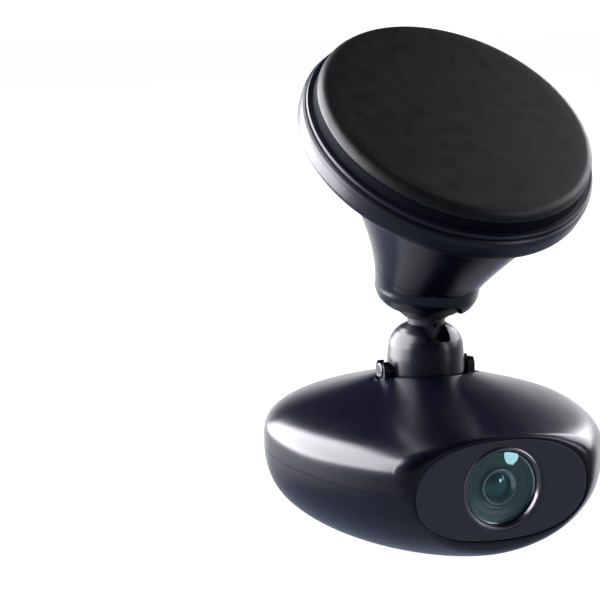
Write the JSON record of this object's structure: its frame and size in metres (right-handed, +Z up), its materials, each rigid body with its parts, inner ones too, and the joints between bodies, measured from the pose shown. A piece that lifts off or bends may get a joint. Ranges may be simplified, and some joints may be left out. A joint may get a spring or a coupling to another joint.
{
  "type": "dash camera",
  "caption": "Pebble-shaped in-car camera head with a wide front lens, hung by a pitching arm and ball joint from a flared neck and round adhesive mounting pad.",
  "frame": {"origin": "centre of the flat foot under the arm's axis, on the surface the head stands on", "axes": "+Z up along the arm, -Y out of the front lens, +X to the right of someone facing the lens"},
  "size_m": [0.085, 0.0862, 0.1262],
  "materials": {
    "shell": "satin, very dark blue-black",
    "foot": "matt",
    "panel": "satin, slate",
    "bezel": "fine satin",
    "lens": "coated, faint blue-green",
    "baffle": "dark blue-green, satin",
    "lens_black": "matt black",
    "circuit": "satin green board",
    "chip": "moulded black",
    "flex": "amber film",
    "thermal": "soft pad",
    "spreader": "rolled",
    "capacitor": "sleeve",
    "can": "tinned",
    "card": "satin",
    "speaker": "matt",
    "screw": "plain",
    "cradle": "satin",
    "arm": "semi-gloss, dark graphite",
    "pin": "glossy black",
    "liner": "self-lubricating",
    "spring": "plain",
    "mount": "satin, very dark blue-black",
    "plate": "satin, dark grey-violet",
    "trim": "satin, light ridge",
    "carrier": "navy",
    "pad": "matt black gel"
  },
  "bodies": {
    "head": {"upper_shell": "shell", "lower_shell": "shell", "foot_pad": "foot", "front_panel": "panel", "lens_bezel": "bezel", "front_lens": "lens", "lens_baffle": "baffle", "inner_ring": "bezel", "inner_lens": "lens", "lens_barrel": "lens_black", "rear_lens": "lens", "aperture_stop": "lens_black", "lens_holder": "lens_black", "holder_screws": "screw", "ir_filter": "lens", "image_sensor": "chip", "sensor_board": "circuit", "ribbon_cable": "flex", "main_board": "circuit", "processor": "chip", "memory_chip": "chip", "thermal_pad": "thermal", "heat_spreader": "spreader", "backup_capacitors": "capacitor", "card_socket": "can", "power_socket": "can", "speaker": "speaker", "microphone": "chip", "antenna": "flex", "status_led": "chip", "light_guide": "lens", "reset_switch": "chip", "board_screws": "screw", "shell_screws": "screw", "hinge_cradle": "cradle", "cradle_screws": "screw"},
    "card": {"memory_card": "card"},
    "button": {"reset_button": "shell"},
    "arm": {"hinge_bell": "arm", "cross_pin": "pin", "ball_stud": "arm", "stem_screw": "pin"},
    "swivel_liner": {"inner_liner": "liner"},
    "tilt_liner": {"outer_liner": "liner"},
    "mount": {"ball_collar": "mount", "pressure_cap": "liner", "wave_spring": "spring", "mount_neck": "mount", "neck_screws": "screw", "mount_plate": "plate", "trim_ring": "trim", "pad_carrier": "carrier", "adhesive_pad": "pad"}
  },
  "joints": [
    {"name": "head_pitch", "type": "hinge", "parent": "head", "child": "arm", "pos_m": [0, 0, 0.0396], "axis": [1, 0, 0], "range_deg": [-15, 15]},
    {"name": "mount_swivel", "type": "hinge", "parent": "arm", "child": "swivel_liner", "pos_m": [0, 0, 0.061], "axis": [0, 0, 1], "continuous": true},
    {"name": "mount_tilt", "type": "hinge", "parent": "swivel_liner", "child": "tilt_liner", "pos_m": [0, 0, 0.061], "axis": [0.9923, 0.1236, 0], "range_deg": [-32, 15]},
    {"name": "mount_roll", "type": "hinge", "parent": "tilt_liner", "child": "mount", "pos_m": [0, 0, 0.061], "axis": [0.1236, -0.9923, 0], "range_deg": [-14, 14]},
    {"name": "card_slide", "type": "slide", "parent": "head", "child": "card", "axis": [0, 1, 0], "range_m": [0, 0.012]},
    {"name": "reset_press", "type": "slide", "parent": "head", "child": "button", "axis": [0, -1, 0], "range_m": [0, 0.0005], "stiffness_N_per_m": 300}
  ]
}
